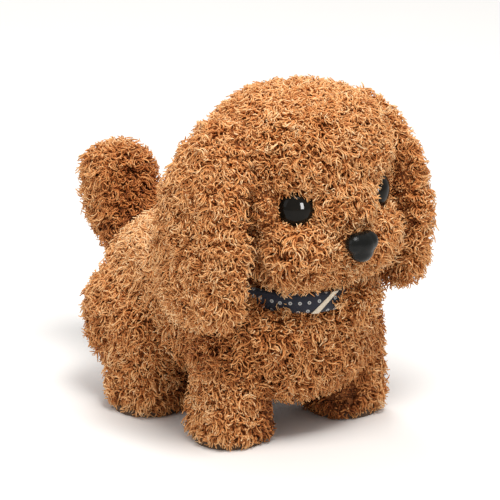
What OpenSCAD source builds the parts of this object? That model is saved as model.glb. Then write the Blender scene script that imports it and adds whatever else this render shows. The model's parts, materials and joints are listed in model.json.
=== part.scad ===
/* [Body] */
// Half width of the plush body
body_half_w = 54; // [52:1:56]
// Half length of the plush body
body_half_l = 80; // [78:1:82]
// Half height of the plush body
body_half_h = 46; // [44:1:48]
// Height of the body's middle above the floor
body_z = 63.5; // [62:0.5:65]
// Roundness exponent of the body: 2 is an ellipsoid, higher is boxier
body_power = 2.5; // [2.2:0.1:3]

/* [Head] */
// Radius of the plush head
head_r = 52; // [50:1:53]
// Height of the head's centre
head_z = 142; // [141:1:144]
// Radius of the plush muzzle
muzzle_r = 25; // [22:1:26]
// Radius of an eye's dome
eye_r = 9.2; // [8:0.1:9.4]
// Length of an ear from its seam to its tip
ear_len = 100; // [96:1:102]
// Thickness of an ear
ear_t = 13; // [11:1:14]

/* [Legs] */
// Distance from the middle plane to a foot's centre
foot_x = 39.5; // [39:0.5:41]
// Distance between the front and the rear feet
leg_spacing = 68; // [66:1:70]
// Radius of a plush foot
foot_r = 20; // [18:0.5:20]
// Height of the hip pivots
hip_z = 50; // [50:1:51]

/* [Tail] */
// Radius of the plush tail
tail_r = 18; // [16:0.5:18]
// Height of the tail's tip
tail_top = 125; // [120:1:130]

/* [Chassis] */
// Half width of the plastic chassis
chassis_half_w = 24; // [24:0.5:24.5]
// Wall thickness of the chassis
wall = 2; // [1.6:0.1:2]

/* [Gears] */
// Gear module
gear_m = 0.52; // [0.5:0.01:0.52]
// Teeth on each wheel
wheel_teeth = 36; // [36:1:36]
// Teeth on each pinion
pinion_teeth = 12; // [12:1:12]
// Distance of a crank pin from the crank shaft's axis
crank_throw = 2.5; // [2:0.1:2.5]

/* [Collar] */
// Height of the collar band
collar_h = 6; // [5:0.5:6]

/* [Hidden] */

$fn = 96;
eps = 0.01;
FRONT = -1;
REAR = 1;
LEFT = 1;
RIGHT = -1;

// Places along the body: -Y is the way the pet faces
legs_y = -12;
body_y = -3;
head_y = -54;
neck_y = -46;
neck_z = 82;
half_length = 109.5;
tail_y = half_length - tail_r;
tail_pivot_z = 66;
tail_pivot_y = 57;
function leg_y(end) = legs_y + end * leg_spacing / 2;

// Chassis box
chassis_front = -59;
chassis_rear = 53;
chassis_bottom = 30;
chassis_top = 76;
gap = 0.3;
shoulder_z = 79.2;
neck_top = 85.6;
neck_r = 33;
neck_mid_y = -50;
boss_r = 3;
boss_places = [
    [chassis_front + 7, 36], [chassis_front + 7, 70.5],
    [chassis_rear - 5.5, 36], [chassis_rear - 5.5, 70.5]
];
screw_r = 1.3;
screw_head_r = 2.5;
screw_head_t = 1;

// Legs: a swinging arm, a soft leg round it and a sole
arm_in = chassis_half_w + 0.6;
arm_t = 4;
arm_out = arm_in + arm_t;
hip_r = 3;
fit = 0.06;
sole_t = 3.5;
sole_r = foot_r - 2;
foot_top = 27;
leg_r = 16.5;
leg_x = arm_in + 0.9 + leg_r;
leg_top = 46;
link_lift = 12;
link_in = arm_out + 0.4;
link_t = 2;
link_out = link_in + link_t;
link_pin_r = 1.5;

// Drive train: three gear stages in a row behind the crank
crank_z = hip_z + link_lift;
crank_y = legs_y;
stage = gear_m * (wheel_teeth + pinion_teeth) / 2;
second_y = crank_y + stage;
first_y = second_y + stage;
motor_y = first_y + stage;
pressure_angle = 25;
backlash = 0.12;
shaft_r = 1.5;
axle_r = 1;
plate_t = 1.5;
outer_plate_x = -21.5;
inner_plate_x = -6;
plane_a = -19;
plane_b = -15;
plane_c = -10;
gear_w = 3;
disc_t = 3;
disc_r = 5.5;
pin_r = 1.2;

// Battery compartment and switch
cell_r = 7.25;
cell_len = 50.5;
cell_x = 7.4;
cell_z = 40;
cell_y = 1.75;
case_half_w = 16.3;
case_front = -26.5;
case_rear = 30.1;
case_top = 49;
door_t = 2;
door_z = chassis_bottom - 0.2 - door_t;
door_rear = 35.5;
switch_y = 38.8;
switch_case_y = 40.3;

// Head fittings
skull_r = 30;
skull_wall = 2;
eye_dir = [0.647, -0.739, -0.185];
eye_at = 39.5;
nose_z = 114;
nose_ball = 4.6;
muzzle_y = -106 + muzzle_r;
ear_in = 53.5;
ear_top_r = 12;
ear_tip_r = 27;
ear_y = -48;
ear_top_z = 168;

fur = [0.66, 0.42, 0.25];
fur_light = [0.78, 0.55, 0.36];
shell_white = [0.88, 0.87, 0.83];
steel = [0.72, 0.73, 0.75];

// ---------- shared shapes ----------

// Signed power, for superellipsoid surfaces
function spow(v, p) = sign(v) * pow(abs(v), p);

function blob_point(half, n, lat, lon) = [
    half[0] * spow(cos(lat), 2 / n) * spow(cos(lon), 2 / n),
    half[1] * spow(cos(lat), 2 / n) * spow(sin(lon), 2 / n),
    half[2] * spow(sin(lat), 2 / n)
];

// Closed superellipsoid with the given half sizes and roundness exponent
module blob(half, n, rings = 14, sides = 32) {
    ring_points = [
        for (i = [1 : rings - 1], j = [0 : sides - 1])
            blob_point(half, n, -90 + 180 * i / rings, 360 * j / sides)
    ];
    last = len(ring_points);
    points = concat(ring_points, [[0, 0, -half[2]], [0, 0, half[2]]]);
    walls = [
        for (i = [0 : rings - 3], j = [0 : sides - 1])
            let (a = i * sides + j, b = i * sides + (j + 1) % sides)
            for (face = [[a, a + sides, b], [b, a + sides, b + sides]]) face
    ];
    bottom = [for (j = [0 : sides - 1]) [last, j, (j + 1) % sides]];
    top_ring = (rings - 2) * sides;
    top = [for (j = [0 : sides - 1]) [last + 1, top_ring + (j + 1) % sides, top_ring + j]];
    polyhedron(points, concat(walls, bottom, top));
}

// Box from its lowest to its highest corner
module box(low, high) {
    translate(low) cube(high - low);
}

// Extrudes a (Y, Z) outline from x0 to x1
module along_x(x0, x1) {
    translate([x0, 0, 0])
        rotate([90, 0, 90])
        linear_extrude(x1 - x0)
        children();
}

// Round bar along X at (y, z)
module bar_x(r, x0, x1, y, z) {
    translate([x0, y, z])
        rotate([0, 90, 0])
        cylinder(r = r, h = x1 - x0);
}

// Round bar along Y at (x, z)
module bar_y(r, y0, y1, x, z) {
    translate([x, y0, z])
        rotate([-90, 0, 0])
        cylinder(r = r, h = y1 - y0);
}

// Puts a shape made for the left side on the given side
module on_side(side) {
    if (side == LEFT) children();
    else mirror([1, 0, 0]) children();
}

// (Y, Z) rectangle with round corners
module round_outline(y0, y1, z0, z1, r) {
    translate([y0 + r, z0]) square([y1 - y0 - 2 * r, z1 - z0]);
    translate([y0, z0 + r]) square([y1 - y0, z1 - z0 - 2 * r]);
    for (y = [y0 + r, y1 - r], z = [z0 + r, z1 - r])
        translate([y, z]) circle(r);
}

// ---------- chassis ----------

module chassis_box(inset) {
    round_outline(chassis_front + inset, chassis_rear - inset,
        chassis_bottom + inset, chassis_top - inset, 6 - inset);
}

module chassis_half(side) {
    color(shell_white)
    on_side(side)
    difference() {
        union() {
            difference() {
                along_x(0, chassis_half_w) chassis_box(0);
                along_x(-1, chassis_half_w - wall) chassis_box(wall);
            }
            for (p = boss_places)
                bar_x(boss_r, 0, chassis_half_w - wall / 2, p[0], p[1]);
            // hip pins
            for (end = [FRONT, REAR])
                bar_x(hip_r, chassis_half_w - wall, arm_out + 0.2, leg_y(end), hip_z);
            // neck lug
            along_x(6, 9) {
                translate([neck_y - 6, chassis_top - wall]) square([12, neck_z - chassis_top + wall]);
                translate([neck_y, neck_z]) circle(6);
            }
        }
        for (p = boss_places)
            bar_x(screw_r, -1, side == LEFT ? 14 : chassis_half_w + 1, p[0], p[1]);
        if (side == RIGHT)
            for (p = boss_places)
                bar_x(screw_head_r, chassis_half_w - screw_head_t, chassis_half_w + 1, p[0], p[1]);
        for (end = [FRONT, REAR])
            bar_x(1.2, chassis_half_w - wall - 1, arm_out + 1, leg_y(end), hip_z);
        bar_x(2, 5, 10, neck_y, neck_z);
        bar_x(2.5, chassis_half_w - wall - 1, chassis_half_w + 1, crank_y, crank_z);
        bar_y(2, chassis_rear - wall - 1, chassis_rear + 1, 0, tail_pivot_z);
        // battery case seat, its screw block and the switch slot
        box([-1, case_front - gap, chassis_bottom - 1],
            [case_half_w + gap, case_rear + gap, chassis_bottom + wall + 1]);
        box([-1, case_rear, chassis_bottom - 1],
            [3.9, door_rear + 0.1, chassis_bottom + wall + 1]);
        box([-1, switch_y - 1.6, chassis_bottom - 1],
            [2.2, switch_y + 4.6, chassis_bottom + wall + 1]);
    }
}

module chassis_screws() {
    color(steel)
    for (p = boss_places) {
        bar_x(screw_r, -chassis_half_w, 13, p[0], p[1]);
        bar_x(screw_head_r, -chassis_half_w, -chassis_half_w + screw_head_t, p[0], p[1]);
    }
}

module hip_screws() {
    color(steel)
    for (side = [LEFT, RIGHT], end = [FRONT, REAR])
        on_side(side) {
            bar_x(1.2, chassis_half_w - wall, arm_out + 0.2, leg_y(end), hip_z);
            bar_x(3.6, arm_out + 0.2, arm_out + 1.8, leg_y(end), hip_z);
        }
}

module crank_bushes() {
    color([0.8, 0.65, 0.35])
    for (side = [LEFT, RIGHT])
        on_side(side)
        difference() {
            bar_x(2.5, chassis_half_w - wall, chassis_half_w, crank_y, crank_z);
            bar_x(shaft_r + fit, chassis_half_w - wall - 1, chassis_half_w + 1, crank_y, crank_z);
        }
}

module neck_pin() {
    color(steel) bar_x(2, -9, 9, neck_y, neck_z);
}

module tail_screw() {
    color(steel) {
        bar_y(2, chassis_rear - wall, tail_pivot_y + 3.4, 0, tail_pivot_z);
        bar_y(3.6, tail_pivot_y + 3.4, tail_pivot_y + 5, 0, tail_pivot_z);
    }
}

// ---------- power and electronics ----------

module battery_case() {
    color([0.2, 0.2, 0.21])
    difference() {
        union() {
            box([-case_half_w, case_front, chassis_bottom], [case_half_w, case_rear, case_top]);
            box([-3.6, case_rear - eps, chassis_bottom], [3.6, door_rear - 0.2, 38]);
        }
        box([-case_half_w + 1.5, case_front + 1.5, chassis_bottom - 1],
            [case_half_w - 1.5, case_rear - 1.5, case_top - 1.5]);
        translate([0, case_rear + 2.4, chassis_bottom - 1]) cylinder(r = 1.1 + fit, h = 7);
    }
}

module battery_cell(side) {
    color([0.25, 0.45, 0.75])
    on_side(side) {
        bar_y(cell_r, cell_y - cell_len / 2, cell_y + cell_len / 2 - 1.5, cell_x, cell_z);
        bar_y(2.6, cell_y + cell_len / 2 - 1.5, cell_y + cell_len / 2, cell_x, cell_z);
    }
}

module battery_contacts() {
    color([0.85, 0.85, 0.87])
    for (side = [LEFT, RIGHT])
        on_side(side) {
            box([2.4, case_front + 1.5, 34], [12.4, case_front + 2.1, 46]);
            box([2.4, case_rear - 2.1, 34], [12.4, case_rear - 1.5, 46]);
        }
}

module battery_door() {
    color([0.16, 0.15, 0.15])
    difference() {
        union() {
            box([-16, case_front - 1, door_z], [16, case_rear + 0.6, door_z + door_t]);
            box([-5, case_rear, door_z], [5, door_rear, door_z + door_t]);
            for (i = [0 : 4])
                box([-7, case_front + 4 + 3 * i, door_z - 0.7],
                    [7, case_front + 5.4 + 3 * i, door_z + eps]);
        }
        translate([0, case_rear + 2.4, door_z - 1]) cylinder(r = 1.1, h = door_t + 2);
    }
}

module door_screw() {
    color(steel)
    translate([0, case_rear + 2.4, 0]) {
        translate([0, 0, door_z]) cylinder(r = 1.1, h = 8);
        difference() {
            translate([0, 0, door_z - 1.2]) cylinder(r = 2.2, h = 1.2);
            for (turn = [0, 90])
                rotate([0, 0, turn])
                box([-1.6, -0.3, door_z - 2], [1.6, 0.3, door_z - 0.6]);
        }
    }
}

module switch_case() {
    color([0.3, 0.3, 0.32])
    difference() {
        box([-6, switch_case_y - 3.8, chassis_bottom + wall],
            [6, switch_case_y + 3.8, 39]);
        box([-4, switch_case_y - 3.3, chassis_bottom + wall - 1],
            [4, switch_case_y + 3.3, 36]);
    }
}

module switch_knob() {
    color([0.12, 0.12, 0.12]) {
        box([-1.5, switch_y - 1, 27.2], [1.5, switch_y + 1, 33.2]);
        box([-3, switch_y - 1.4, 33.2 - eps], [3, switch_y + 1.4, 35]);
    }
}

module circuit_board() {
    color([0.12, 0.42, 0.2]) box([-18, 42.4, 43], [18, 44, 66]);
    color([0.1, 0.1, 0.1]) {
        box([-5, 41, 50], [3, 42.4 + eps, 58]);
        box([6, 40.8, 48], [11, 42.4 + eps, 51]);
    }
}

module speaker() {
    y = chassis_front + wall + 0.5;
    color([0.2, 0.2, 0.2])
    difference() {
        union() {
            bar_y(13, y, y + 2.5, 0, 54);
            bar_y(7.5, y + 2, y + 6, 0, 54);
        }
        bar_y(11, y - 1, y + 0.8, 0, 54);
    }
}

module motor() {
    color(steel)
    difference() {
        union() {
            intersection() {
                bar_x(10, inner_plate_x + plate_t, 19, motor_y, crank_z);
                box([-10, motor_y - 7.5, 50], [20, motor_y + 7.5, 74]);
            }
            bar_x(3, inner_plate_x, inner_plate_x + plate_t + eps, motor_y, crank_z);
        }
        bar_x(axle_r + fit, inner_plate_x - 1, 14, motor_y, crank_z);
    }
}

// ---------- gearbox ----------

module plate_outline(rear) {
    translate([crank_y - 11, crank_z - 11.4])
        square([rear - crank_y + 11, 22.8]);
}

module gear_plate(x0, rear) {
    color([0.9, 0.9, 0.86])
    difference() {
        along_x(x0, x0 + plate_t) plate_outline(rear);
        bar_x(shaft_r + fit, x0 - 1, x0 + plate_t + 1, crank_y, crank_z);
        for (y = [second_y, first_y])
            bar_x(axle_r, x0 - 1, x0 + plate_t + 1, y, crank_z);
        children();
    }
}

module gearbox_outer_plate() {
    gear_plate(outer_plate_x, first_y + 4);
}

module gearbox_inner_plate() {
    gear_plate(inner_plate_x, motor_y + 8)
        bar_x(3, inner_plate_x - 1, inner_plate_x + plate_t + 1, motor_y, crank_z);
    // spacers between the two plates
    color([0.9, 0.9, 0.86])
    for (p = [[crank_y - 8.9, crank_z + 9.9], [crank_y - 8.9, crank_z - 9.9],
              [second_y + stage / 2, crank_z - 9.9]])
        bar_x(1.4, outer_plate_x + plate_t, inner_plate_x + eps, p[0], p[1]);
}

module gear_axles() {
    color(steel)
    for (y = [second_y, first_y])
        bar_x(axle_r, outer_plate_x, inner_plate_x + plate_t, y, crank_z);
}

// Involute angle, in degrees, at radius r for a base circle rb
function involute(r, rb) =
    r <= rb ? 0 : sqrt(pow(r / rb, 2) - 1) * 180 / PI - acos(rb / r);

// One flank: polar points from root to tip, at half the tooth's width from its middle
function flank(teeth, m, steps = 4) =
    let (
        rp = m * teeth / 2,
        rb = rp * cos(pressure_angle),
        root = rp - 1.15 * m,
        tip = rp + 0.85 * m,
        half = 90 / teeth - backlash / 2 / rp * 180 / PI,
        start = max(root, rb)
    )
    concat(
        [[root, half + involute(rp, rb)]],
        [for (i = [0 : steps])
            let (r = start + (tip - start) * i / steps)
            [r, half + involute(rp, rb) - involute(r, rb)]]
    );

function polar(r, a) = [r * cos(a), r * sin(a)];

module gear_outline(teeth, m) {
    side = flank(teeth, m);
    n = len(side);
    polygon([
        for (t = [0 : teeth - 1]) each concat(
            [for (i = [0 : n - 1]) polar(side[i][0], 360 * t / teeth - side[i][1])],
            [for (i = [n - 1 : -1 : 0]) polar(side[i][0], 360 * t / teeth + side[i][1])]
        )
    ]);
}

// Spur gear about X, with a tooth or a gap pointing along +Y
module spur(teeth, x0, y, w, gap_first = false) {
    translate([x0, y, crank_z])
        rotate([90, 0, 90])
        rotate([0, 0, gap_first ? 180 / teeth : 0])
        linear_extrude(w)
        gear_outline(teeth, gear_m);
}

module motor_shaft() {
    color(steel) bar_x(axle_r, plane_b - 0.5, 13.5, motor_y, crank_z);
}

module motor_pinion() {
    color([0.85, 0.7, 0.3])
    difference() {
        spur(pinion_teeth, plane_b, motor_y, gear_w + 0.5, true);
        bar_x(axle_r, plane_b - 1, plane_b + gear_w + 1.5, motor_y, crank_z);
    }
}

module first_gear() {
    color([0.93, 0.93, 0.9])
    difference() {
        union() {
            spur(wheel_teeth, plane_b, first_y, gear_w);
            spur(pinion_teeth, plane_a, first_y, plane_b - plane_a + eps, true);
            bar_x(2.4, plane_b, inner_plate_x - 0.4, first_y, crank_z);
        }
        bar_x(axle_r + fit, plane_a - 1, inner_plate_x, first_y, crank_z);
    }
}

module second_gear() {
    color([0.93, 0.93, 0.9])
    difference() {
        union() {
            spur(wheel_teeth, plane_a, second_y, gear_w);
            bar_x(2.2, plane_a, plane_c + eps, second_y, crank_z);
            spur(pinion_teeth, plane_c, second_y, gear_w + 0.4, true);
        }
        bar_x(axle_r + fit, plane_a - 1, inner_plate_x, second_y, crank_z);
    }
}

module crank_gear() {
    color([0.93, 0.93, 0.9])
    difference() {
        union() {
            spur(wheel_teeth, plane_c, crank_y, gear_w);
            bar_x(4, plane_c - 1.5, plane_c + eps, crank_y, crank_z);
        }
        bar_x(shaft_r, plane_c - 2, inner_plate_x, crank_y, crank_z);
    }
}

module crank_shaft() {
    color(steel) bar_x(shaft_r, -arm_in - disc_t, arm_in + disc_t, crank_y, crank_z);
}

module crank(side) {
    color([0.3, 0.3, 0.33])
    on_side(side)
    difference() {
        union() {
            bar_x(disc_r, arm_in, arm_in + disc_t, crank_y, crank_z);
            bar_x(pin_r, arm_in + disc_t - eps, link_out + 0.6,
                crank_y + side * crank_throw, crank_z);
        }
        bar_x(shaft_r, arm_in - 1, arm_in + disc_t - eps, crank_y, crank_z);
    }
}

// Bar that joins the two legs of one side, with a window for the crank pin
module link(side) {
    window_y = 2 * crank_throw + pin_r + 0.7;
    window_z = crank_throw + pin_r + 0.9;
    color([0.85, 0.84, 0.8])
    on_side(side)
    difference() {
        along_x(link_in, link_out) {
            translate([leg_y(FRONT), crank_z - 2.6]) square([leg_spacing, 5.2]);
            for (end = [FRONT, REAR])
                translate([leg_y(end), crank_z]) circle(3.4);
            round_outline(crank_y - window_y - 2, crank_y + window_y + 2,
                crank_z - window_z - 2, crank_z + window_z + 2, 4);
        }
        along_x(link_in - 1, link_out + 1)
            round_outline(crank_y - window_y, crank_y + window_y,
                crank_z - window_z, crank_z + window_z, 2.5);
        bar_x(link_pin_r + fit, link_in - 1, link_out + 1, leg_y(FRONT), crank_z);
        bar_x(link_pin_r + 0.3, link_in - 1, link_out + 1, leg_y(REAR), crank_z);
    }
}

// ---------- legs ----------

module leg_arm(side, end) {
    y = leg_y(end);
    color(shell_white)
    on_side(side)
    difference() {
        union() {
            along_x(arm_in, arm_out) {
                translate([y, hip_z]) circle(6.5);
                translate([y - 3.4, hip_z]) square([6.8, link_lift]);
                translate([y, crank_z]) circle(3.4);
                translate([y - 6.5, 6]) square([13, hip_z - 6]);
            }
            box([arm_out - eps, y - 9, sole_t], [foot_x + 10, y + 9, 24]);
            bar_x(link_pin_r, arm_out - eps, link_out + 0.6, y, crank_z);
        }
        bar_x(hip_r + fit, arm_in - 1, arm_out + 1, y, hip_z);
    }
}

module leg_plush(side, end) {
    y = leg_y(end);
    c = 0.15;
    color(fur)
    on_side(side)
    difference() {
        union() {
            translate([foot_x, y, sole_t]) cylinder(r = foot_r, h = foot_top - sole_t);
            translate([leg_x, y, foot_top - 1]) cylinder(r = leg_r, h = leg_top - foot_top + 1);
        }
        box([arm_in - 1, y - 6.5 - c, sole_t - 1], [arm_out + c, y + 6.5 + c, leg_top + 1]);
        box([arm_out, y - 9 - c, sole_t - 1], [foot_x + 10 + c, y + 9 + c, 24 + c]);
    }
}

module foot_sole(side, end) {
    color([0.45, 0.3, 0.2])
    on_side(side)
    difference() {
        translate([foot_x, leg_y(end), 0]) cylinder(r = sole_r, h = sole_t);
        for (i = [-2 : 2])
            box([foot_x - 10, leg_y(end) + 5 * i - 0.6, -1],
                [foot_x + 10, leg_y(end) + 5 * i + 0.6, 0.8]);
    }
}

// ---------- plush body ----------

// Room for a swinging leg, as a (Y, Z) outline
module leg_well(end) {
    y = leg_y(end);
    polygon([
        [y - 32, 0], [y + 32, 0], [y + 22, leg_top + 2], [y + 22, 72],
        [y - 22, 72], [y - 22, leg_top + 2]
    ]);
}

module body_plush() {
    color(fur)
    difference() {
        union() {
            difference() {
                translate([0, body_y, body_z])
                    blob([body_half_w, body_half_l, body_half_h], body_power);
                // the head sits over the shoulders
                box([-70, -100, shoulder_z], [70, 8, 120]);
            }
            translate([0, neck_mid_y, shoulder_z - 6])
                cylinder(r = neck_r, h = neck_top - shoulder_z + 6);
        }
        // room for the chassis and its neck lugs
        box([-chassis_half_w - gap, chassis_front - gap, chassis_bottom - gap],
            [chassis_half_w + gap, chassis_rear + gap, chassis_top + gap]);
        translate([0, neck_y, chassis_top - 1]) cylinder(r = 13, h = 20);
        // legs, links and hip fittings
        for (side = [LEFT, RIGHT])
            on_side(side) {
                for (end = [FRONT, REAR]) {
                    along_x(chassis_half_w, 70) leg_well(end);
                    intersection() {
                        along_x(19, 26) leg_well(end);
                        box([18, -100, 0], [27, 100, chassis_bottom]);
                    }
                }
                box([chassis_half_w, leg_y(FRONT) - 20, 53],
                    [35, leg_y(REAR) + 20, 72]);
            }
        // battery door and switch
        box([-16.4, case_front - 2, 0], [16.4, switch_y + 8, chassis_bottom + 1]);
        // tail and its lever
        box([-32, chassis_rear - 1, 62], [32, 100, 120]);
        box([-14, chassis_rear - 1, 57], [14, tail_pivot_y + 6, 70]);
    }
}

module collar_band() {
    color([0.08, 0.1, 0.16])
    translate([0, neck_mid_y, shoulder_z + 0.4])
        difference() {
            cylinder(r = neck_r + 1.8, h = collar_h);
            translate([0, 0, -1]) cylinder(r = neck_r + 0.2, h = collar_h + 2);
        }
}

module collar_buckle() {
    color([0.86, 0.8, 0.66])
    translate([0, neck_mid_y, shoulder_z + 0.4])
        rotate([0, 0, -20])
        difference() {
            box([-4, -neck_r - 3.4, 0.2], [4, -neck_r - 1, collar_h - 0.2]);
            box([-2.4, -neck_r - 4, 1.6], [2.4, -neck_r - 2.6, collar_h - 1.6]);
            translate([0, 0, -1]) cylinder(r = neck_r + 1.8, h = collar_h + 2);
        }
}

// ---------- tail ----------

module tail_lever() {
    foot = tail_pivot_y;
    up = tail_y;
    color(shell_white)
    difference() {
        union() {
            bar_y(5.4, foot - 3, foot + 3, 0, tail_pivot_z);
            along_x(-2.4, 2.4)
                polygon([
                    [foot - 3, tail_pivot_z], [foot + 3, tail_pivot_z], [foot + 3, 77],
                    [up + 3, 84], [up + 3, 112], [up - 3, 112], [up - 3, 89],
                    [foot - 3, 82]
                ]);
        }
        bar_y(2 + fit, foot - 4, foot + 4, 0, tail_pivot_z);
    }
}

module tail_plush() {
    low = tail_pivot_z + 24;
    high = tail_top - tail_r;
    color(fur)
    difference() {
        union() {
            translate([0, tail_y, low]) sphere(tail_r);
            translate([0, tail_y, low]) cylinder(r = tail_r, h = high - low);
            translate([0, tail_y, high]) sphere(tail_r);
        }
        box([-2.6, tail_y - tail_r - 1, 70], [2.6, tail_y + 3.2, 91]);
        box([-2.6, tail_y - 3.2, 70], [2.6, tail_y + 3.2, 112.2]);
    }
}

// ---------- head ----------

module neck_arm() {
    color(shell_white)
    difference() {
        union() {
            bar_x(5, -5.6, 5.6, neck_y, neck_z);
            box([-4, neck_y - 4, neck_z], [4, neck_y + 4, 119]);
        }
        bar_x(2 + fit, -7, 7, neck_y, neck_z);
    }
}

module skull_shell() {
    translate([0, head_y, head_z])
        difference() {
            sphere(skull_r);
            sphere(skull_r - skull_wall);
        }
}

module skull_front() {
    color(shell_white)
    intersection() {
        skull_shell();
        box([-60, -140, 80], [60, head_y, 200]);
    }
}

module skull_back() {
    color(shell_white)
    difference() {
        intersection() {
            skull_shell();
            box([-60, head_y, 80], [60, 20, 200]);
        }
        box([-4.1, neck_y - 4.1, 100], [4.1, neck_y + 4.1, 125]);
    }
}

module head_plush() {
    color(fur)
    difference() {
        union() {
            translate([0, head_y, head_z]) sphere(head_r);
            translate([0, muzzle_y, nose_z]) sphere(muzzle_r);
        }
        translate([0, head_y, head_z]) sphere(skull_r + 0.2);
        translate([0, neck_y, 80]) cylinder(r = 11, h = 40);
        // room over the collar for the nod
        translate([0, neck_mid_y, 80]) cylinder(r = neck_r + 4.5, h = 10.5);
        for (side = [LEFT, RIGHT])
            on_side(side) {
                eye_solid(0.25);
                eye_socket();
            }
        nose_seat();
    }
}

// Turns +Z to the way the left eye looks and stands it at the eye's place
module at_eye() {
    translate([0, head_y, head_z] + eye_dir * eye_at)
        rotate([0, acos(eye_dir[2]), atan2(eye_dir[1], eye_dir[0])])
        children();
}

module eye_solid(grow = 0) {
    at_eye() {
        sphere(eye_r + grow);
        translate([0, 0, -9.1 - grow]) cylinder(r = 2 + grow, h = 12);
        translate([0, 0, -9.1 - grow]) cylinder(r = 6 + grow, h = 1.4 + 2 * grow);
    }
}

// Hollow in the soft head in front of the eye
module eye_socket() {
    at_eye() cylinder(r = eye_r + 1.2, h = 20);
}

module eye(side) {
    color([0.03, 0.02, 0.02]) on_side(side) eye_solid();
}

// Rounded triangle, broad side up, on a stem that holds it in the muzzle
module nose() {
    color([0.05, 0.04, 0.04]) {
        hull()
            for (p = [[-4, 2], [4, 2], [0, -3]])
                translate([p[0], -half_length + nose_ball, nose_z + p[1]])
                sphere(nose_ball, $fn = 32);
        bar_y(2, -half_length + nose_ball, -half_length + 18, 0, nose_z);
    }
}

// Seat of the nose in the soft muzzle
module nose_seat() {
    bar_y(10, -half_length - 1, -half_length + 2 * nose_ball + 0.2, 0, nose_z);
    bar_y(2.25, -half_length, -half_length + 18.3, 0, nose_z);
}

// ---------- ears ----------

// Flap outline: a narrow seam end and a broad round tip, joined by straight sides
module ear_outline() {
    top = ear_top_z - ear_top_r;
    tip = ear_top_z - ear_len + ear_tip_r;
    lean = asin((ear_tip_r - ear_top_r) / (top - tip));
    translate([ear_y, top]) circle(ear_top_r);
    translate([ear_y, tip]) circle(ear_tip_r);
    polygon([
        for (s = [-1, 1], e = (s < 0 ? [0, 1] : [1, 0]))
            let (r = e == 0 ? ear_top_r : ear_tip_r, z = e == 0 ? top : tip)
            [ear_y + s * r * cos(lean), z + r * sin(lean)]
    ]);
}

module ear(side) {
    color(fur_light)
    on_side(side)
    along_x(ear_in, ear_in + ear_t)
    ear_outline();
}

body_plush();
collar_band();
collar_buckle();
chassis_half(LEFT);  // chassis_left
chassis_half(RIGHT);  // chassis_right
chassis_screws();
hip_screws();
crank_bushes();
neck_pin();
tail_screw();
battery_case();
battery_contacts();
battery_cell(LEFT);  // battery_cell_left
battery_cell(RIGHT);  // battery_cell_right
switch_case();
circuit_board();
speaker();
motor();
gearbox_outer_plate();
gearbox_inner_plate();
gear_axles();
battery_door();
door_screw();
switch_knob();
motor_shaft();
motor_pinion();
first_gear();
second_gear();
crank_gear();
crank_shaft();
crank(LEFT);  // crank_left
crank(RIGHT);  // crank_right
link(LEFT);  // link_left
link(RIGHT);  // link_right
leg_arm(LEFT, FRONT);  // leg_arm_front_left
leg_arm(RIGHT, FRONT);  // leg_arm_front_right
leg_arm(LEFT, REAR);  // leg_arm_rear_left
leg_arm(RIGHT, REAR);  // leg_arm_rear_right
leg_plush(LEFT, FRONT);  // leg_plush_front_left
leg_plush(RIGHT, FRONT);  // leg_plush_front_right
leg_plush(LEFT, REAR);  // leg_plush_rear_left
leg_plush(RIGHT, REAR);  // leg_plush_rear_right
foot_sole(LEFT, FRONT);  // foot_sole_front_left
foot_sole(RIGHT, FRONT);  // foot_sole_front_right
foot_sole(LEFT, REAR);  // foot_sole_rear_left
foot_sole(RIGHT, REAR);  // foot_sole_rear_right
tail_lever();
tail_plush();
neck_arm();
skull_front();
skull_back();
head_plush();
eye(LEFT);  // eye_left
eye(RIGHT);  // eye_right
nose();
ear(LEFT);  // ear_left
ear(RIGHT);  // ear_right
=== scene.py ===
"""Plush walking puppy: soft skins, curly fur, face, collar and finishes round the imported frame."""

import json
import math

import bpy
import numpy as np
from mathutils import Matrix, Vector


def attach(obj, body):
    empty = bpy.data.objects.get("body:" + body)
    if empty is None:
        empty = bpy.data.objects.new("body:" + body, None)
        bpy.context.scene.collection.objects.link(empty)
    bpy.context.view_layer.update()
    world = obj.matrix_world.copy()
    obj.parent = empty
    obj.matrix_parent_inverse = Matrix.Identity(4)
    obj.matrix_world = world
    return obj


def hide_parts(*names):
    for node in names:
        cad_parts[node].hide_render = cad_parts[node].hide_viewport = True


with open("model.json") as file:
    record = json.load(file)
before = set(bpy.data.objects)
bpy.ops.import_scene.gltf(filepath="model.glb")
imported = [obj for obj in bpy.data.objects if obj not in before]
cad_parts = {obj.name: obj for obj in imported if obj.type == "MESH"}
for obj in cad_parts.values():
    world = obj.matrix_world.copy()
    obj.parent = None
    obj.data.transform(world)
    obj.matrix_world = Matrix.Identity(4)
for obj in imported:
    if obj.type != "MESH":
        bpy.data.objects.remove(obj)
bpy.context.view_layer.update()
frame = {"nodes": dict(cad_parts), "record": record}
MM = 0.001
rng = np.random.default_rng(11)

# Places in millimetres, in the frame's own axes: -Y is the way the pet faces
HEAD = np.array((0.0, -54.0, 142.0))
MUZZLE = np.array((0.0, -86.0, 113.0))
BODY = np.array((0.0, -3.0, 64.0))
LEG_ENDS = {"front": -46.0, "rear": 22.0}
SIDES = {"left": 1.0, "right": -1.0}
FOOT_X = 38.5
EYE_DIR = np.array((0.647, -0.739, -0.185))
# The dome looks a little higher than the socket
EYE_LOOK = np.array((0.61, -0.79, 0.04))
EYE_AT = 41.2
EYE_R = 9.6
EYE_RISE = 6.6
EYE_SINK = 2.2
NOSE = np.array((0.0, -107.0, 113.5))
NECK = np.array((0.0, -50.0, 81.5))
COLLAR_R = 35.5
COLLAR_H = 11.0
COLLAR_DIP = 2.5
DOT_SPACING = 4.9
# Turns round the neck, in degrees from the front: how far the collar's folded end slants over the collar's
# height, and where the chest's and the side's curls cover the collar
TAB_SLANT = 19.0
CHEST_TUFT = (-8, 48)
SIDE_TUFT = (-80, -66)
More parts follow.
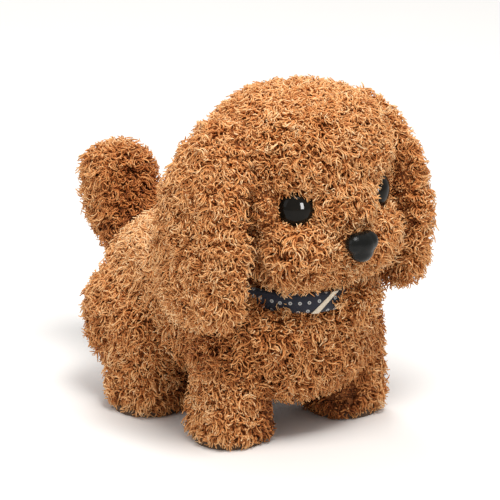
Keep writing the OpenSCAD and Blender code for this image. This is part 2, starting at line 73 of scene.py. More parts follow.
# Where the skins run into each other, so no fur grows there
NECK_JOIN = (0, -46)
TAIL_JOIN = (0, 69, 72)
# Lowest height of any curl over the floor
FLOOR_GAP = 0.4
# The belly is open here, round the battery door and the switch
BELLY_LOW = (-17.0, -28.5, 5.0)
BELLY_HIGH = (17.0, 45.0, 30.6)


# ---------- materials ----------


def principled(name, color, roughness=0.8, **values):
    """A material whose Principled shader has plain values; colours are linear."""
    mat = bpy.data.materials.new(name)
    mat.use_nodes = True
    shader = mat.node_tree.nodes["Principled BSDF"]
    shader.inputs["Base Color"].default_value = (*color, 1)
    shader.inputs["Roughness"].default_value = roughness
    for socket, value in values.items():
        shader.inputs[socket.replace("_", " ")].default_value = value
    return mat, mat.node_tree, shader


def mix_by(tree, factor, dark, light):
    """A colour between dark and light, by factor."""
    mix = tree.nodes.new("ShaderNodeMix")
    mix.data_type = "RGBA"
    mix.inputs["A"].default_value = (*dark, 1)
    mix.inputs["B"].default_value = (*light, 1)
    tree.links.new(factor, mix.inputs["Factor"])
    return mix.outputs["Result"]


def noise(tree, scale, detail=3.0):
    """Noise over the object's own coordinates; scale is in cycles a metre."""
    place = tree.nodes.new("ShaderNodeTexCoord")
    tex = tree.nodes.new("ShaderNodeTexNoise")
    tex.inputs["Scale"].default_value = scale
    tex.inputs["Detail"].default_value = detail
    tree.links.new(place.outputs["Object"], tex.inputs["Vector"])
    return tex.outputs["Fac"]


def add_bump(tree, shader, height, distance, strength=0.6):
    bump = tree.nodes.new("ShaderNodeBump")
    bump.inputs["Distance"].default_value = distance
    bump.inputs["Strength"].default_value = strength
    tree.links.new(height, bump.inputs["Height"])
    tree.links.new(bump.outputs["Normal"], shader.inputs["Normal"])


def grained(name, dark, light, scale, roughness, bump=0.0001, **values):
    """A surface with mottled colour and a fine matching bump."""
    mat, tree, shader = principled(name, light, roughness, **values)
    tree.links.new(mix_by(tree, noise(tree, scale), dark, light), shader.inputs["Base Color"])
    add_bump(tree, shader, noise(tree, scale * 2.5), bump)
    return mat


# Curl shades, from painted shade at the root to the paler tip, which is partly a painted highlight
FUR_SHADES = {
    "root": (0.125, 0.032, 0.006),
    "deep": (0.255, 0.067, 0.013),
    "rust": (0.43, 0.138, 0.032),
    "mid": (0.60, 0.228, 0.064),
    "warm": (0.73, 0.332, 0.112),
    "tan": (0.84, 0.460, 0.196),
    "peach": (0.92, 0.60, 0.32),
}


def fur_material(shade):
    mat, _, _ = principled("fur_" + shade, FUR_SHADES[shade], 0.55, Specular_IOR_Level=0.3)
    return mat


FUR = {shade: fur_material(shade) for shade in FUR_SHADES}
# The backing under the curls is darkened to painted shade, which shows in the gaps between the curls
SHADED_BACKING = grained("plush_backing_shaded", (0.16, 0.045, 0.010), (0.38, 0.13, 0.034), 420, 0.95, 0.0008)


# ---------- mesh helpers ----------


def new_mesh_object(name, verts_mm, faces, smooth=True):
    mesh = bpy.data.meshes.new(name)
    mesh.from_pydata([tuple(v) for v in np.asarray(verts_mm) * MM], [], faces)
    mesh.validate()
    obj = bpy.data.objects.new(name, mesh)
    bpy.context.scene.collection.objects.link(obj)
    mesh.polygons.foreach_set("use_smooth", [smooth] * len(mesh.polygons))
    return obj


def signed_power(values, power):
    return np.sign(values) * np.abs(values) ** power


def lump(centre, radii, power=2.0, rings=18, sides=28):
    """Points and faces of a closed rounded lump, an ellipsoid at power 2 and boxier above."""
    lat = np.linspace(-math.pi / 2, math.pi / 2, rings + 1)[1:-1]
    lon = np.linspace(0, 2 * math.pi, sides, endpoint=False)
    lat, lon = np.meshgrid(lat, lon, indexing="ij")
    e = 2.0 / power
    flat = signed_power(np.cos(lat), e)
    x = flat * signed_power(np.cos(lon), e)
    y = flat * signed_power(np.sin(lon), e)
    z = signed_power(np.sin(lat), e)
    pts = np.stack([x, y, z], axis=-1).reshape(-1, 3)
    pts = np.vstack([pts, [(0, 0, -1), (0, 0, 1)]]) * np.asarray(radii) + np.asarray(centre)
    faces = []
    for i in range(rings - 2):
        for j in range(sides):
            a, b = i * sides + j, i * sides + (j + 1) % sides
            faces.append((a, b, b + sides, a + sides))
    south, north = (rings - 1) * sides, (rings - 1) * sides + 1
    last = (rings - 2) * sides
    for j in range(sides):
        k = (j + 1) % sides
        faces.append((south, k, j))
        faces.append((north, last + j, last + k))
    return pts, faces


def apply_modifiers(obj):
    bpy.context.view_layer.update()
    shaped = obj.evaluated_get(bpy.context.evaluated_depsgraph_get())
    mesh = bpy.data.meshes.new_from_object(shaped)
    old = obj.data
    obj.modifiers.clear()
    obj.data = mesh
    bpy.data.meshes.remove(old)


def soft_skin(name, lumps, voxel=2.2, smoothing=10):
    """One closed skin over overlapping lumps, blended like stuffed cloth."""
    verts, faces = [], []
    base = 0
    for part in lumps:
        pts, polys = lump(*part)
        verts.append(pts)
        faces += [tuple(i + base for i in poly) for poly in polys]
        base += len(pts)
    obj = new_mesh_object(name, np.vstack(verts), faces)
    remesh = obj.modifiers.new("remesh", "REMESH")
    remesh.mode = "VOXEL"
    remesh.voxel_size = voxel * MM
    smooth = obj.modifiers.new("smooth", "SMOOTH")
    smooth.factor = 0.6
    smooth.iterations = smoothing
    apply_modifiers(obj)
    obj.data.polygons.foreach_set("use_smooth", [True] * len(obj.data.polygons))
    obj.data.materials.append(SHADED_BACKING)
    return obj


def carve(obj, low, high):
    """Cuts the box between two corners, in millimetres, out of a closed skin."""
    pts = [(x, y, z) for x in (low[0], high[0]) for y in (low[1], high[1]) for z in (low[2], high[2])]
    faces = [(0, 1, 3, 2), (4, 6, 7, 5), (0, 4, 5, 1), (2, 3, 7, 6), (0, 2, 6, 4), (1, 5, 7, 3)]
    cutter = new_mesh_object("cutter", pts, faces, smooth=False)
    cut = obj.modifiers.new("cut", "BOOLEAN")
    cut.operation = "DIFFERENCE"
    cut.solver = "EXACT"
    cut.object = cutter
    apply_modifiers(obj)
    bpy.data.objects.remove(cutter)


# ---------- fur ----------


def mesh_triangles(obj):
    """Corner points, corner normals (both in millimetres) and areas of the mesh's triangles."""
    mesh = obj.data
    mesh.calc_loop_triangles()
    co = np.empty(len(mesh.vertices) * 3, np.float32)
    mesh.vertices.foreach_get("co", co)
    no = np.empty(len(mesh.vertices) * 3, np.float32)
    mesh.vertices.foreach_get("normal", no)
    tri = np.empty(len(mesh.loop_triangles) * 3, np.int32)
    mesh.loop_triangles.foreach_get("vertices", tri)
    tri = tri.reshape(-1, 3)
    co = co.reshape(-1, 3)[tri] / MM
    no = no.reshape(-1, 3)[tri]
    area = np.linalg.norm(np.cross(co[:, 1] - co[:, 0], co[:, 2] - co[:, 0]), axis=1) / 2
    return co, no, area


def scatter(obj, density):
    """Random roots, in millimetres, and normals on the mesh; density is per square millimetre."""
    co, no, area = mesh_triangles(obj)
    count = int(area.sum() * density)
    pick = rng.choice(len(area), count, p=area / area.sum())
    u, v = rng.random((2, count, 1))
    flip = u + v > 1
    u, v = np.where(flip, 1 - u, u), np.where(flip, 1 - v, v)
    root = co[pick, 0] * (1 - u - v) + co[pick, 1] * u + co[pick, 2] * v
    normal = no[pick, 0] * (1 - u - v) + no[pick, 1] * u + no[pick, 2] * v
    return root, normal / np.linalg.norm(normal, axis=1, keepdims=True)


def unit(v):
    return v / np.maximum(np.linalg.norm(v, axis=-1, keepdims=True), 1e-9)


CURL_SIDES = 3
# A fur layer is split into pieces of at most this many triangles
MAX_PIECE_TRIANGLES = 190_000
# Size of a tuft, in millimetres
CLUMP = 3.8


def clumps(root):
    """Groups neighbouring roots into tufts: a group number for each root, and each group's middle."""
    cell = np.floor((root + rng.normal(0, 0.8, root.shape)) / CLUMP).astype(int)
    _, group = np.unique(cell, axis=0, return_inverse=True)
    group = group.ravel()
    size = np.bincount(group)
    middle = np.stack([np.bincount(group, root[:, k]) / size for k in range(3)], axis=1)
    return group, middle


def shared(group, low, high, own):
    """A value for each strand: mostly its tuft's, partly its own."""
    tuft = rng.uniform(low, high, group.max() + 1)[group]
    return tuft * (1 - own) + rng.uniform(low, high, len(group)) * own


def curl_paths(root, normal, length, thick, comb, steps, loose=1.0):
    """Centre lines of the curls: each tuft leans one way, and its strands wind up as they leave the skin."""
    n = len(root)
    group, middle = clumps(root)
    t = np.linspace(0, 1, steps)[None, :, None]
    wild = unit(rng.normal(size=(group.max() + 1, 3)))[group] + 0.45 * rng.normal(size=(n, 3))
    along = unit(np.cross(normal, wild))
    lean = unit(along + comb)
    lean = unit(lean - normal * (lean * normal).sum(1, keepdims=True))
    across = np.cross(normal, lean)
    reach = length * shared(group, 0.62, 1.28, 0.45)
    turn = shared(group, 0.35, 1.05, 0.35) * 2 * math.pi * rng.choice((-1, 1), group.max() + 1)[group]
    start = rng.uniform(0, 2 * math.pi, group.max() + 1)[group] + rng.normal(0, 0.5, n)
    radius = np.clip(reach * shared(group, 0.13, 0.25, 0.4), 0.5, 2.3) * loose
    tilt = shared(group, 0.1, 1.0, 0.4)
    angle = start[:, None, None] + turn[:, None, None] * t
    swell = radius[:, None, None] * (0.3 + 0.7 * np.sqrt(t))
    spiral = swell * (np.cos(angle) * lean[:, None] + np.sin(angle) * across[:, None])
    spiral -= spiral[:, :1]
    axis = unit(normal + lean * tilt[:, None])
    # a curl sits closer as its tip droops back
    rise = (t - 0.22 * t**2) * reach[:, None, None]
    path = root[:, None] + axis[:, None] * rise + spiral
    path += (middle[group] - root)[:, None] * 0.45 * t**1.3
    path[..., 2] -= (t[..., 0] ** 2) * 0.12 * length[:, None]
    taper = 1.0 - 0.5 * np.linspace(0, 1, steps) ** 1.8
    width = thick * rng.uniform(0.7, 1.3, n)[:, None] * taper
    return path, width, group


def curl_mesh(name, path, width, shades):
    """One mesh of thin closed tubes along the paths; shades give each tube's material per step."""
    n, steps = path.shape[:2]
    sides = CURL_SIDES
    tangent = unit(np.gradient(path, axis=1))
    side = unit(np.cross(tangent, unit(rng.normal(size=(n, 1, 3)))))
    other = np.cross(tangent, side)
    ring = np.linspace(0, 2 * math.pi, sides, endpoint=False)
    offset = (
        np.cos(ring)[None, None, :, None] * side[:, :, None]
        + np.sin(ring)[None, None, :, None] * other[:, :, None]
    )
    pts = path[:, :, None] + offset * (width / 2)[:, :, None, None]
    pts[..., 2] = np.maximum(pts[..., 2], FLOOR_GAP)
    pts = pts.reshape(-1, 3) * MM
    base = (np.arange(n) * steps * sides)[:, None, None]
    step = (np.arange(steps - 1) * sides)[None, :, None]
    s = np.arange(sides)[None, None, :]
    a, b = base + step + s, base + step + (s + 1) % sides
    quads = np.stack([a, b, b + sides, a + sides], axis=-1).reshape(-1, 4)
    first = base[:, 0] + np.arange(sides)[::-1][None]
    last = base[:, 0] + (steps - 1) * sides + np.arange(sides)[None]
    caps = np.concatenate([first, last]).reshape(-1, sides)
    mesh = bpy.data.meshes.new(name)
    mesh.vertices.add(len(pts))
    mesh.vertices.foreach_set("co", pts.astype(np.float32).ravel())
    corners = np.concatenate([quads.ravel(), caps.ravel()]).astype(np.int32)
    mesh.loops.add(len(corners))
    mesh.loops.foreach_set("vertex_index", corners)
    sizes = np.concatenate([np.full(len(quads), 4), np.full(len(caps), sides)])
    starts = np.concatenate([[0], np.cumsum(sizes)[:-1]]).astype(np.int32)
    mesh.polygons.add(len(sizes))
    mesh.polygons.foreach_set("loop_start", starts)
    mesh.polygons.foreach_set("loop_total", sizes.astype(np.int32))
    quad_shade = np.repeat(shades, sides, axis=1).ravel()
    cap_shade = np.concatenate([shades[:, 0], shades[:, -1]])
    mesh.polygons.foreach_set("material_index", np.concatenate([quad_shade, cap_shade]).astype(np.int32))
    mesh.polygons.foreach_set("use_smooth", np.ones(len(sizes), bool))
    mesh.update(calc_edges=True)
    for shade in FUR_SHADES:
        mesh.materials.append(FUR[shade])
    obj = bpy.data.objects.new(name, mesh)
    bpy.context.scene.collection.objects.link(obj)
    return obj


def pick_shades(group, lightness, shade, steps, climb):
    """Material index of each step of each curl: painted shade at the root, lighter to a partly painted
    highlight at the tip, calmer where paler.
    """
    calm = np.clip(1.0 - 0.45 * lightness, 0.5, 1.0)
    tuft = rng.normal(0, 0.5, group.max() + 1)[group]
    tone = lightness + calm * (shade + tuft + rng.normal(0, 0.5, len(group)))
    index = 3.0 + tone[:, None] + calm[:, None] * np.linspace(*climb, steps - 1)[None]
    index = np.round(index).astype(int)
    return np.clip(index, 0, len(FUR_SHADES) - 1)


def in_pockets(p, pockets):
    """True where p is inside any (centre, radius) ball."""
    hit = np.zeros(len(p), bool)
    for centre, radius in pockets:
        hit |= np.linalg.norm(p - np.asarray(centre), axis=1) < radius
    return hit


def per_root(value, root):
    return value(root) if callable(value) else np.full(len(root), float(value))


def droop(root):
    return np.tile((0.0, 0.0, -0.35), (len(root), 1))


# The pile is dense short wool at the bottom and looser curls above. For each: its share of the roots,
# the steps along a strand, its share of the length, thickness, looseness, shade, and the shades' climb
# from root to tip
LAYERS = {
    # The wool's deeper shade is painted shade deep down in the pile
    "wool": dict(share=0.5, steps=4, long=0.58, thick=1.25, loose=0.8, shade=-0.95, climb=(-1.3, 0.9)),
    "curls": dict(share=0.44, steps=7, long=0.92, thick=1.08, loose=1.1, shade=0.35, climb=(-1.5, 1.5)),
}


def fur(name, skin, body, density=1.0, length=10.0, lightness=0.0, keep=None, comb=droop):
    """Curls all over a skin, in a few pieces that ride on the skin's body."""
    for layer, kind in LAYERS.items():
        root, normal = scatter(skin, density * kind["share"])
        if keep is not None:
            ok = keep(root, normal)
            root, normal = root[ok], normal[ok]
        long = per_root(length, root) * kind["long"]
        light = per_root(lightness, root)
        steps = kind["steps"]
        path, width, group = curl_paths(
            root - normal * 0.6, normal, long, kind["thick"], comb(root), steps, kind["loose"]
        )
        shades = pick_shades(group, light, kind["shade"], steps, kind["climb"])
        parts = math.ceil(len(root) * (2 * CURL_SIDES * (steps - 1) + 2) / MAX_PIECE_TRIANGLES)
        for k in range(parts):
            part = slice(k, None, parts)
            piece = curl_mesh(f"{name}_{layer}_{k + 1}", path[part], width[part], shades[part])
            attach(piece, body)


# ---------- soft skins ----------

head_skin = soft_skin(
    "head_skin",
    [
        # skull, crown, muzzle and chin
        (HEAD, (44, 42, 43)),
        (HEAD + (0, -1, 13), (44, 41, 29.5), 2.4),
        (MUZZLE + (0, 3, 1), (20, 17, 16)),
        (MUZZLE + (0, 9, -7), (22, 18, 16)),
        # cheeks, ear roots, bridge of the nose, and temples behind the eyes
        *[(MUZZLE + (20 * s, 10, -0.5), (22, 20, 20.5)) for s in SIDES.values()],
        *[(HEAD + (41 * s, 4, 13), (10, 15, 15)) for s in SIDES.values()],
        (HEAD + (0, -33, -9), (19, 14, 15)),
        *[(HEAD + (37 * s, -16, -7), (8.5, 12, 16)) for s in SIDES.values()],
    ],
)
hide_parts("head_plush")
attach(head_skin, "head")

body_skin = soft_skin(
    "body_skin",
    [
        # trunk, neck and nape
        (BODY, (46, 73, 38), 2.6),
        (NECK + (0, 3, -2), (34, 31, 27)),
        (NECK + (0, 20, 9), (31, 17, 17)),
        # chest, and the uneven ruff under the collar
        (BODY + (0, -53, -7), (41, 25, 33), 2.3),
        (NECK + (-20, -13, -19), (22, 19, 14)),
        (NECK + (13, -18, -8), (24, 20, 14.5)),
        # rump, haunches, and the tops of the legs
        (BODY + (0, 46, -5), (43, 26.5, 34), 2.4),
        *[((34 * s, 40, 46), (18, 27.5, 27.5), 2.3) for s in SIDES.values()],
        *[((36 * s, y, 46), (19, 21, 21)) for s in SIDES.values() for y in LEG_ENDS.values()],
    ],
)
carve(body_skin, BELLY_LOW, BELLY_HIGH)
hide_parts("body_plush")
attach(body_skin, "body")

leg_skins = {}
for side, s in SIDES.items():
    for end, y in LEG_ENDS.items():
        leg = soft_skin(
            f"leg_skin_{end}_{side}",
            [
                ((FOOT_X * s, y, 14.6), (18.1, 18.1, 13.2), 3.6),
                (((FOOT_X + 1) * s, y - 1, 30), (16.6, 17.4, 20), 2.6),
                (((FOOT_X + 2) * s, y, 47), (12.5, 14.5, 10)),
            ],
            voxel=2.0,
            smoothing=5,
        )
        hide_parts(f"leg_plush_{end}_{side}")
        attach(leg, f"leg_{end}_{side}")
        leg_skins[end, side] = leg

# Middles and radii of the tail's lumps, from its root to its tip: y, z, radius
TAIL_LINE = [(70, 72, 13), (80, 80, 14.5), (90, 89, 15.5), (96, 98, 15.5), (97.5, 106, 14.5)]
tail_skin = soft_skin("tail_skin", [((0, y, z), (r, r, r), 3.0) for y, z, r in TAIL_LINE], smoothing=6)
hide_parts("tail_plush")
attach(tail_skin, "tail")

ear_skins = {}
for side, s in SIDES.items():
    ear = soft_skin(
        f"ear_skin_{side}",
        [
            ((46.5 * s, -50, 163), (9, 17, 11)),
            ((53.5 * s, -51, 150), (8.5, 23, 16), 2.4),
            ((60 * s, -51.5, 132), (8, 28, 21), 2.8),
            ((62.5 * s, -51.5, 111), (8, 31, 24), 3),
            ((63 * s, -51, 96), (8, 29, 24), 2.8),
        ],
        voxel=2.0,
        smoothing=8,
    )
    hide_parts(f"ear_{side}")
    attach(ear, f"ear_{side}")
    ear_skins[side] = ear


# ---------- fur on each skin ----------


def mirrored(v, s):
    return np.array((v[0] * s, v[1], v[2]))


def ramp(value, start, end):
    """0 before start, 1 past end, and straight between them; end may be the lower one."""
    return np.clip((value - start) / (end - start), 0, 1)


def ring_about(root, centre):
    """How far each root is from an upright line through centre."""
    return np.hypot(root[:, 0] - centre[0], root[:, 1] - centre[1])


eye_places = [HEAD + mirrored(EYE_DIR, s) * EYE_AT for s in SIDES.values()]
eye_pockets = [(p + mirrored(EYE_DIR, s) * 3.0, EYE_R - 1.1) for p, s in zip(eye_places, SIDES.values())]
nose_pockets = [(NOSE + (0, 1.5, 0), 8.8)]


def face_keep(root, normal):
    """Bare under the eyes and the nose, with ragged rims, and where the neck joins the head."""
    over_neck = (root[:, 2] < 108) & (ring_about(root, NECK_JOIN) < 26)
    rim = root + rng.normal(0, 1.1, root.shape)
    return ~(in_pockets(rim, eye_pockets + nose_pockets) | over_neck)


def near_face(root):
    """Distance past the rim of the nearest eye or nose, and the way to its middle."""
    pockets = eye_pockets + nose_pockets
    away = np.stack([np.linalg.norm(root - c, axis=1) - r for c, r in pockets])
    nearest = away.argmin(axis=0)
    middles = np.array([c for c, _ in pockets])[nearest]
    return away.min(axis=0), unit(middles - root)


def face_length(root):
    """Shorter pile round the eyes and the nose, longer on the cheeks and the chin."""
    _, y, z = root.T
    away, _ = near_face(root)
    chin = ramp(z, 112, 92)
    under_ear = (np.abs(root[:, 0]) > 37) & (y > -82) & (y < -18) & (z < 148)
    over_body = (z < 114) & (y > -66) & (ring_about(root, NECK) < 42)
    long = np.clip(6.2 + away * 0.35, 6.2, 10.0) + 1.5 * chin
    return long * np.where(under_ear, 0.45, 1.0) * np.where(over_body, 0.7, 1.0)


def face_comb(root):
    """Strands round an eye or the nose lean over its rim; the rest droop."""
    away, inward = near_face(root)
    pull = np.clip(1 - away / 4.0, 0, 1)[:, None]
    return droop(root) * (1 - pull) + inward * pull * 1.4


def face_light(root):
    """Crown and muzzle are paler than the sides; on the crown it is a painted highlight from light above."""
    muzzle = np.exp(-((np.linalg.norm(root - MUZZLE, axis=1) / 26) ** 2))
    crown = ramp(root[:, 2], 160, 190)
    return 0.8 * muzzle + 0.75 * crown - 0.15


def body_keep(root, normal):
    """Bare under the head and the collar, except where curls hide the ends of the part that shows."""
    x, y, z = root.T
    ring = ring_about(root, NECK)
    turn = np.degrees(np.arctan2(x - NECK[0], -(y - NECK[1])))
    front = turn - TAB_SLANT * (z - NECK[2]) / COLLAR_H
    under_collar = (np.abs(z - NECK[2]) < COLLAR_H / 2 + 1) & (ring < COLLAR_R + 4)
    under_collar &= (front < CHEST_TUFT[0]) | (front > CHEST_TUFT[1])
    under_collar &= (turn < SIDE_TUFT[0]) | (turn > SIDE_TUFT[1])
    under_head = (z > 92) & (ring < 34)
    in_belly = (np.abs(x) < BELLY_HIGH[0] + 1) & (z < 33)
    in_belly &= (y > BELLY_LOW[1] - 1) & (y < BELLY_HIGH[1] + 1)
    tail_root = np.linalg.norm(root - TAIL_JOIN, axis=1) < 8
    return ~(under_collar | under_head | in_belly | tail_root)


def body_length(root):
    """Shorter pile where the head and the ears rest on the body."""
    _, y, z = root.T
    under_head = (z > 84) & (ring_about(root, NECK) < 46)
    under_jaw = (y > -70) & (y < -40)
    return np.where(under_head, np.where(under_jaw, 4.0, 6.5), 10.0)


def body_light(root):
    """Painted light from above: paler high up and on the back, deeper towards the belly and the chest; the
    flanks are paler, and a painted shadow falls behind an ear.
    """
    x, y, z = root.T
    height = np.clip((z - 66) / 80, -0.45, 0.2)
    back = ramp(z, 74, 94) * ramp(y, -30, 0)
    flank = ramp(z, 45, 65) * ramp(y, -30, -10)
    ear_shadow = np.exp(-(((y + 46) / 26) ** 2)) * (np.abs(x) > 28)
    return height - 0.15 + 0.7 * back + 1.1 * flank - 0.9 * ear_shadow


def ear_length(root):
    """Short pile in the fold next to the cheek."""
    x, _, z = root.T
    return np.where((np.abs(x) < 58) & (z < 146), 4.0, 9.5)


def ear_light(root):
    """An ear is paler outside and behind, with painted shade deep in the fold next to the cheek."""
    x, y, z = root.T
    behind = ramp(y, -50, -20)
    inside = ramp(np.abs(x), 61, 55)
    return 0.25 + 0.8 * behind - 0.9 * inside * (z < 150)


def leg_length(root):
    """Short pile on the side of a leg that swings past the chassis."""
    x, _, z = root.T
    return np.where((np.abs(x) < 30) & (z > 12), 3.5, 7.5)


def leg_comb(root):
    """The pile of a leg hangs over the edge of its sole."""
    return droop(root) * np.where(root[:, 2] < 14, 4.5, 1.5)[:, None]


def leg_light(root):
    """Painted shade: the inner sides of the legs are deeper than the outer ones."""
    return -2.1 * ramp(np.abs(root[:, 0]), FOOT_X + 3, FOOT_X - 9)


def tail_light(root):
    """Painted shadow: the tail is deepest on the side towards the back, where the head's shadow falls."""
    return 0.2 - 1.9 * ramp(root[:, 1], 96, 83)


def tail_keep(root, normal):
    """Bare where the tail's root sits inside the body."""
    return (root[:, 2] > 76) | (root[:, 1] > 72)


def leg_keep(root, normal):
    """Bare under the foot, at the hidden top, and high on the inner side, inside the body."""
    x, _, z = root.T
    return (normal[:, 2] > -0.9) & (z < 50) & ((z < 30) | (np.abs(x) > 33))


fur("head_fur", head_skin, "head", 1.05, face_length, face_light, face_keep, face_comb)
fur("body_fur", body_skin, "body", 0.95, body_length, body_light, body_keep)
for (end, side), leg in leg_skins.items():
    fur(f"leg_fur_{end}_{side}", leg, f"leg_{end}_{side}", 1.0, leg_length, leg_light, leg_keep, leg_comb)
fur("tail_fur", tail_skin, "tail", 1.05, 9.5, tail_light, tail_keep)
for side, ear in ear_skins.items():
    fur(f"ear_fur_{side}", ear, f"ear_{side}", 1.05, ear_length, ear_light)


# ---------- eyes, nose, collar ----------


def turned(obj, direction, at):
    """Stands an object made along +Z at a place, looking along direction, and applies it."""
    turn = Vector(direction).to_track_quat("Z", "Y").to_matrix().to_4x4()
    turn.translation = Vector(at) * MM
    obj.data.transform(turn)
    obj.data.update()
    return obj


def eye_dome(turns=40):
    """Points and faces of a closed dome along +Z, turned from a profile with a rounded rim."""
    arc = [(EYE_R * math.cos(a), EYE_RISE * math.sin(a)) for a in np.linspace(0, math.pi / 2, 14)[:-1]]
    profile = [(EYE_R - 1.2, -EYE_SINK), (EYE_R - 0.2, -1.4), (EYE_R + 0.15, -0.5), *arc]
    around = [2 * math.pi * j / turns for j in range(turns)]
    pts = [(r * math.cos(a), r * math.sin(a), z) for r, z in profile for a in around]
    pts += [(0, 0, -EYE_SINK), (0, 0, EYE_RISE)]
    faces = []
    for i in range(len(profile) - 1):
        for j in range(turns):
            a, b = i * turns + j, i * turns + (j + 1) % turns
            faces.append((a, b, b + turns, a + turns))
    top = (len(profile) - 1) * turns
    faces += [(len(pts) - 2, (j + 1) % turns, j) for j in range(turns)]
    faces += [(len(pts) - 1, top + j, top + (j + 1) % turns) for j in range(turns)]
    return pts, faces


eye_mat, eye_tree, eye_shader = principled(
    "eye_gloss", (0.002, 0.002, 0.0015), 0.06, Specular_IOR_Level=0.13
)
tone = mix_by(eye_tree, noise(eye_tree, 260), (0.0012, 0.0012, 0.001), (0.004, 0.003, 0.002))
eye_tree.links.new(tone, eye_shader.inputs["Base Color"])

eyes = []
for side, s in SIDES.items():
    eye = new_mesh_object(f"eye_dome_{side}", *eye_dome())
    turned(eye, mirrored(EYE_LOOK, s), HEAD + mirrored(EYE_DIR, s) * (EYE_AT + 2.0))
    eye.data.materials.append(eye_mat)
    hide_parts(f"eye_{side}")
    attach(eye, "head")
    eyes.append(eye)

nose = soft_skin(
    "nose_pad",
    [
        (NOSE + (-3.8, 0.6, 1.6), (6.2, 5.4, 5.8)),
        (NOSE + (3.8, 0.6, 1.6), (6.2, 5.4, 5.8)),
        (NOSE + (0, 0.2, 0.8), (7.6, 6.0, 6.6)),
        (NOSE + (0, 0.6, -3.4), (6.9, 5.4, 5.6)),
    ],
    voxel=0.6,
    smoothing=14,
)
nose_mat, nose_tree, nose_shader = principled(
    "nose_satin", (0.004, 0.0042, 0.0035), 0.26, Specular_IOR_Level=0.22
)
add_bump(nose_tree, nose_shader, noise(nose_tree, 1400), 0.0002, 0.5)
nose.data.materials.clear()
nose.data.materials.append(nose_mat)
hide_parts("nose")
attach(nose, "head")


def collar_material():
    """Dark navy weave with small ring-shaped dots in rows."""
    mat, tree, shader = principled("collar_dots", (0.012, 0.016, 0.03), 0.85, Sheen_Weight=0.3)
    uv = tree.nodes.new("ShaderNodeUVMap")
    dots = tree.nodes.new("ShaderNodeTexVoronoi")
    dots.voronoi_dimensions = "2D"
    dots.inputs["Scale"].default_value = 1.0
    dots.inputs["Randomness"].default_value = 0.35
    tree.links.new(uv.outputs["UV"], dots.inputs["Vector"])
    bands = tree.nodes.new("ShaderNodeValToRGB")
    bands.color_ramp.interpolation = "EASE"
    stops = [(0.0, 0.1), (0.05, 0.1), (0.11, 1.0), (0.16, 1.0), (0.22, 0.0)]
    for position, value in stops[1:-1]:
        bands.color_ramp.elements.new(position)
    for element, (position, value) in zip(bands.color_ramp.elements, stops):
        element.position = position
        element.color = (value, value, value, 1)
    tree.links.new(dots.outputs["Distance"], bands.inputs["Fac"])
    color = mix_by(tree, bands.outputs["Color"], (0.010, 0.013, 0.026), (0.50, 0.51, 0.50))
    tree.links.new(color, shader.inputs["Base Color"])
    add_bump(tree, shader, noise(tree, 2500), 0.0002, 0.4)
    return mat


def ring_band(name, centre, radius, height, thick, dip, steps=128):
    """A soft band round the neck, lower at the front by dip, with rounded edges."""
    section = [(0, -0.5), (0.5, -0.46), (1, -0.34), (1, 0), (1, 0.34), (0.5, 0.46), (0, 0.5), (0, 0)]
    pts, faces = [], []
    for i in range(steps):
        a = 2 * math.pi * i / steps
        drop = dip * math.sin(a)
        for t, h in section:
            r = radius + t * thick
            x, y = centre[0] + r * math.cos(a), centre[1] + r * math.sin(a)
            pts.append((x, y, centre[2] + h * height + drop))
    n = len(section)
    for i in range(steps):
        for j in range(n):
            k = (j + 1) % n
            a, b = i * n, (i + 1) % steps * n
            faces.append((a + j, b + j, b + k, a + k))
    obj = new_mesh_object(name, pts, faces)
    layer = obj.data.uv_layers.new(name="dots")
    around = round(2 * math.pi * radius / DOT_SPACING)
    for poly in obj.data.polygons:
        for loop in poly.loop_indices:
            v = obj.data.loops[loop].vertex_index
            i, j = divmod(v, n)
            if i == 0 and max(obj.data.loops[q].vertex_index for q in poly.loop_indices) >= (steps - 1) * n:
                i = steps
            layer.data[loop].uv = (around * i / steps, section[j][1] * height / DOT_SPACING)
    return obj


collar = ring_band("collar_cloth", NECK, COLLAR_R, COLLAR_H, 1.6, COLLAR_DIP)
collar.data.materials.append(collar_material())
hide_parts("collar_band")
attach(collar, "body")


def wrapped_tab(name, low_turn, high_turn, slant, height, radius, thick, steps=8):
    """A closed tab bent round the collar between two turns, in degrees from the front, leaning by slant."""
    pts = []
    for out in (0.0, thick):
        for v in (-0.5, 0.5):
            for u in np.linspace(0, 1, steps):
                a = math.radians(low_turn + (high_turn - low_turn) * u + slant * v)
                r = radius + out
                z = NECK[2] + height * v - COLLAR_DIP * math.cos(a)
                pts.append((NECK[0] + r * math.sin(a), NECK[1] - r * math.cos(a), z))
    rows = [range(k * steps, (k + 1) * steps) for k in range(4)]
    inner_low, inner_high, outer_low, outer_high = rows
    faces = []
    for p, q in (
        (inner_high, inner_low),
        (outer_low, outer_high),
        (inner_low, outer_low),
        (outer_high, inner_high),
    ):
        faces += [(p[i], p[i + 1], q[i + 1], q[i]) for i in range(steps - 1)]
    faces += [(inner_low[0], outer_low[0], outer_high[0], inner_high[0])]
    faces += [(inner_low[-1], inner_high[-1], outer_high[-1], outer_low[-1])]
    return new_mesh_object(name, pts, faces, smooth=False)


collar_end = wrapped_tab("collar_end", -14.5, -8.5, TAB_SLANT, COLLAR_H - 0.4, COLLAR_R + 0.9, 1.3)
lining = grained("collar_lining", (0.66, 0.56, 0.42), (0.86, 0.78, 0.64), 700, 0.85, 0.0002)
collar_end.data.materials.append(lining)
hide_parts("collar_buckle")
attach(collar_end, "body")


# ---------- finishes of the parts that stay as the frame made them ----------

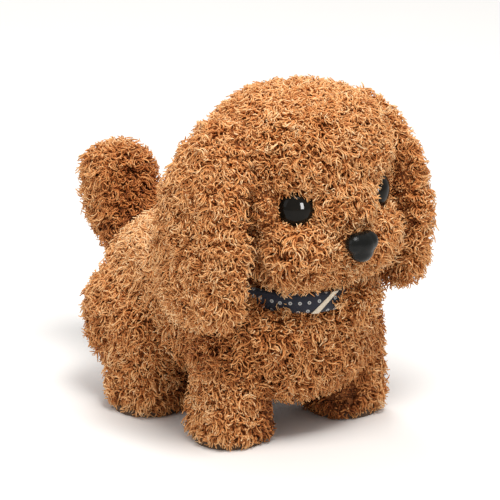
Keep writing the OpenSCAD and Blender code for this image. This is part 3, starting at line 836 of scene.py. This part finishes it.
FINISHES = {
    "white_plastic": grained("white_plastic", (0.66, 0.65, 0.61), (0.78, 0.77, 0.73), 90, 0.5, 0.00005),
    "steel": grained("steel", (0.42, 0.43, 0.45), (0.6, 0.61, 0.63), 300, 0.32, 0.00003, Metallic=1.0),
    "bronze": grained("bronze", (0.5, 0.33, 0.12), (0.66, 0.45, 0.18), 300, 0.35, 0.00003, Metallic=1.0),
    "black_plastic": grained("black_plastic", (0.02, 0.02, 0.02), (0.045, 0.043, 0.04), 160, 0.5, 0.00006),
    "contact_steel": grained(
        "contact_steel", (0.6, 0.6, 0.62), (0.75, 0.75, 0.77), 300, 0.2, 0.00002, Metallic=1.0
    ),
    "cell": grained("cell", (0.03, 0.09, 0.3), (0.06, 0.16, 0.45), 60, 0.3, 0.00002),
    "circuit": grained("circuit", (0.01, 0.1, 0.03), (0.02, 0.17, 0.05), 500, 0.4, 0.00004),
    "gear_plastic": grained("gear_plastic", (0.72, 0.71, 0.66), (0.82, 0.81, 0.77), 120, 0.4, 0.00003),
    "sole": grained("sole", (0.06, 0.035, 0.02), (0.12, 0.07, 0.042), 350, 0.8, 0.0002),
    "buckle": grained("buckle", (0.62, 0.52, 0.34), (0.78, 0.7, 0.52), 200, 0.35, 0.00003),
}
slots = {row["node"]: row["material_slot"] for row in frame["record"]["subparts"]}
for node, obj in frame["nodes"].items():
    finish = FINISHES.get(slots[node])
    if finish:
        obj.data.materials.clear()
        obj.data.materials.append(finish)


# ---------- floor, light, camera ----------

# Half the floor's width, in millimetres
FLOOR_HALF = 4000


def direction_from(azimuth, elevation):
    a, e = math.radians(azimuth), math.radians(elevation)
    return Vector((math.sin(a) * math.cos(e), -math.cos(a) * math.cos(e), math.sin(e)))


floor_corners = [(x * FLOOR_HALF, y * FLOOR_HALF, 0) for x, y in ((-1, -1), (1, -1), (1, 1), (-1, 1))]
floor = new_mesh_object("floor", floor_corners, [(0, 1, 2, 3)])
floor.data.materials.append(grained("floor_paper", (0.80, 0.79, 0.78), (0.84, 0.83, 0.82), 4, 0.9, 0.0001))

world = bpy.data.worlds.new("soft_sky")
world.use_nodes = True
world.node_tree.nodes["Background"].inputs["Color"].default_value = (1.0, 0.99, 0.97, 1)
world.node_tree.nodes["Background"].inputs["Strength"].default_value = 0.6
bpy.context.scene.world = world


def soft_light(name, azimuth, elevation, distance, size, power, color=(1, 1, 1), only=()):
    """A soft rectangle of light facing the pet; it lights everything, or only the objects given."""
    data = bpy.data.lights.new(name, "AREA")
    data.shape = "RECTANGLE"
    data.size, data.size_y = size
    data.energy = power
    data.color = color
    lamp = bpy.data.objects.new(name, data)
    bpy.context.scene.collection.objects.link(lamp)
    target = Vector((0, 0, 0.1))
    lamp.location = target + direction_from(azimuth, elevation) * distance
    lamp.rotation_euler = (target - lamp.location).to_track_quat("-Z", "Y").to_euler()
    if only:
        lit = bpy.data.collections.new(f"{name}_receivers")
        for obj in only:
            lit.objects.link(obj)
        lamp.light_linking.receiver_collection = lit


soft_light("key", -20, 64, 1.2, (0.5, 0.5), 13.5, (1.0, 0.98, 0.95))
soft_light("fill", -95, 25, 1.3, (0.8, 0.8), 2.2)
soft_light("glint", -5, 13, 1.0, (0.24, 0.46), 22.0, only=eyes)
soft_light("rim", 150, 50, 1.3, (0.5, 0.5), 6.0)

VIEW_AZIMUTH, VIEW_ELEVATION = -39.5, 17.3
VIEW_DISTANCE = 3.0
VIEW_TARGET = Vector((0.0181, 0.0065, 0.0803))
LENS = 403.0
camera_data = bpy.data.cameras.new("camera")
camera_data.lens = LENS
camera_data.sensor_width = 36.0
camera = bpy.data.objects.new("camera", camera_data)
camera.location = VIEW_TARGET + direction_from(VIEW_AZIMUTH, VIEW_ELEVATION) * VIEW_DISTANCE
camera.rotation_euler = (VIEW_TARGET - camera.location).to_track_quat("-Z", "Y").to_euler()
bpy.context.scene.collection.objects.link(camera)
bpy.context.scene.camera = camera
bpy.context.scene.view_settings.view_transform = "Standard"
